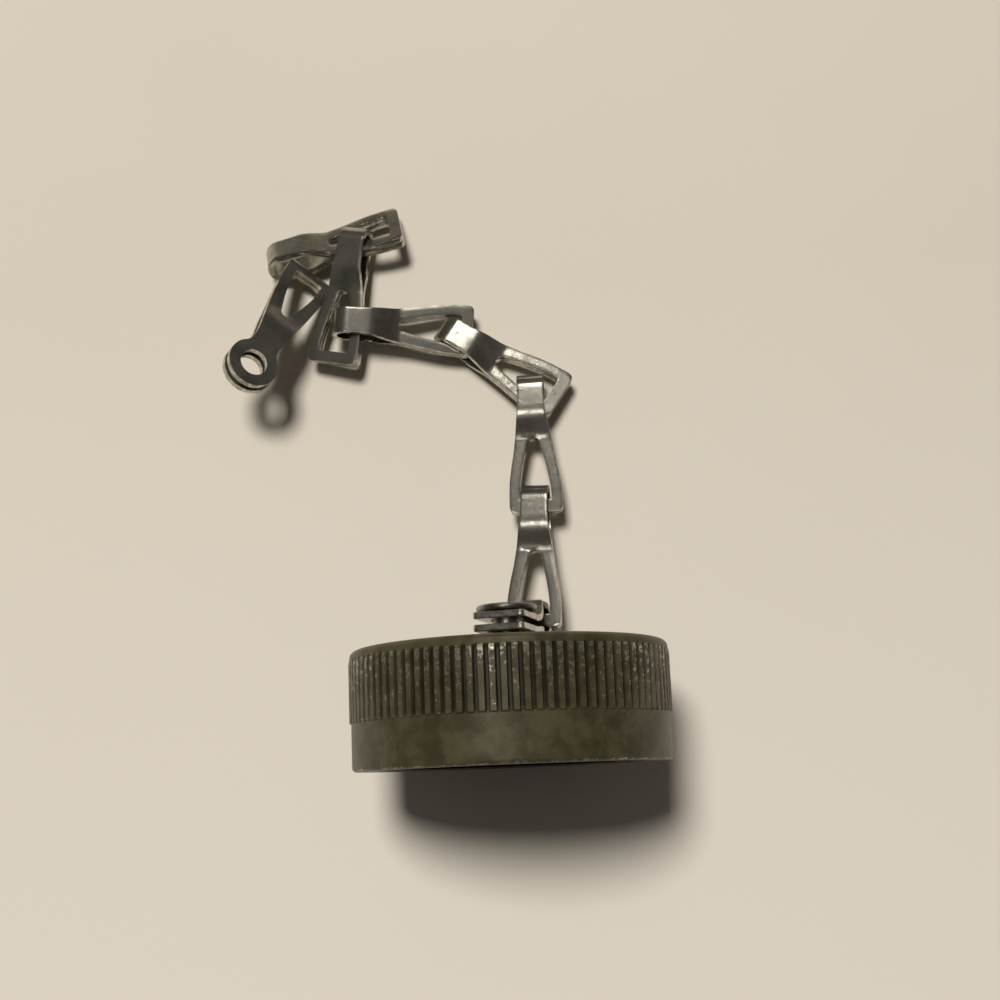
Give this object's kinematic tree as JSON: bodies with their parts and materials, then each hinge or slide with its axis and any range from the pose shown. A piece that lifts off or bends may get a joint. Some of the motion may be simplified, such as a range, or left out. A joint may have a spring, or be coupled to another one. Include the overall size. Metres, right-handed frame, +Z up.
{
  "type": "connector dust cap",
  "caption": "Knurled screw-on dust cap for a round connector, with a folded flat sash chain riveted to its closed face and a round eye at the free end.",
  "frame": {"origin": "centre of the cap's open mouth, on the cap axis", "axes": "cap lies on its knurled side as in the picture: cap axis along Y with the mouth facing -Y and the riveted closed face facing +Y, Z up from the table"},
  "size_m": [0.0479, 0.0672, 0.0333],
  "materials": {
    "olive_plating": "satin olive plating, worn bright on ridge tops",
    "gasket_rubber": "matte",
    "rivet_steel": "worn, dull",
    "chain_steel": "worn plated strip, dark in the hollows"
  },
  "bodies": {
    "cap": {"cap_shell": "olive_plating", "gasket": "gasket_rubber", "center_rivet": "rivet_steel"},
    "swivel_terminal": {"swivel_terminal": "chain_steel"},
    "link_1": {"link_1": "chain_steel"},
    "link_2": {"link_2": "chain_steel"},
    "link_3": {"link_3": "chain_steel"},
    "link_4": {"link_4": "chain_steel"},
    "link_5": {"link_5": "chain_steel"},
    "link_6": {"link_6": "chain_steel"},
    "eye_terminal": {"eye_terminal": "chain_steel"}
  },
  "joints": [
    {"name": "terminal_swivel", "type": "hinge", "parent": "cap", "child": "swivel_terminal", "pos_m": [0, 0.01477, 0], "axis": [0, 1, 0], "continuous": true},
    {"name": "link_1_hinge", "type": "hinge", "parent": "swivel_terminal", "child": "link_1", "pos_m": [0.00274, 0.01597, -0.01103], "axis": [-0.9703, 0, -0.2419], "range_deg": [-28, 56]},
    {"name": "link_2_hinge", "type": "hinge", "parent": "link_1", "child": "link_2", "pos_m": [0.00352, 0.02963, -0.0128], "axis": [-0.9989, -0.0101, -0.0453], "range_deg": [-6, 34]},
    {"name": "link_3_hinge", "type": "hinge", "parent": "link_2", "child": "link_3", "pos_m": [0.00347, 0.04186, -0.01375], "axis": [-0.7632, 0.6452, -0.035], "range_deg": [-28, 6]},
    {"name": "link_4_hinge", "type": "hinge", "parent": "link_3", "child": "link_4", "pos_m": [-0.00462, 0.05013, -0.01425], "axis": [-0.5604, -0.8198, 0.1184], "range_deg": [-8, 12]},
    {"name": "link_5_hinge", "type": "hinge", "parent": "link_4", "child": "link_5", "pos_m": [-0.01671, 0.05233, -0.013], "axis": [0.0922, 0.9955, -0.0209], "range_deg": [-110, 110]},
    {"name": "link_6_hinge", "type": "hinge", "parent": "link_5", "child": "link_6", "pos_m": [-0.01683, 0.06147, -0.01283], "axis": [-0.9888, 0.0409, -0.1438], "range_deg": [-52, 74]},
    {"name": "eye_terminal_hinge", "type": "hinge", "parent": "link_6", "child": "eye_terminal", "pos_m": [-0.02467, 0.06147, -0.01405], "axis": [0.1633, -0.8316, 0.5308], "range_deg": [-40, 0]}
  ]
}
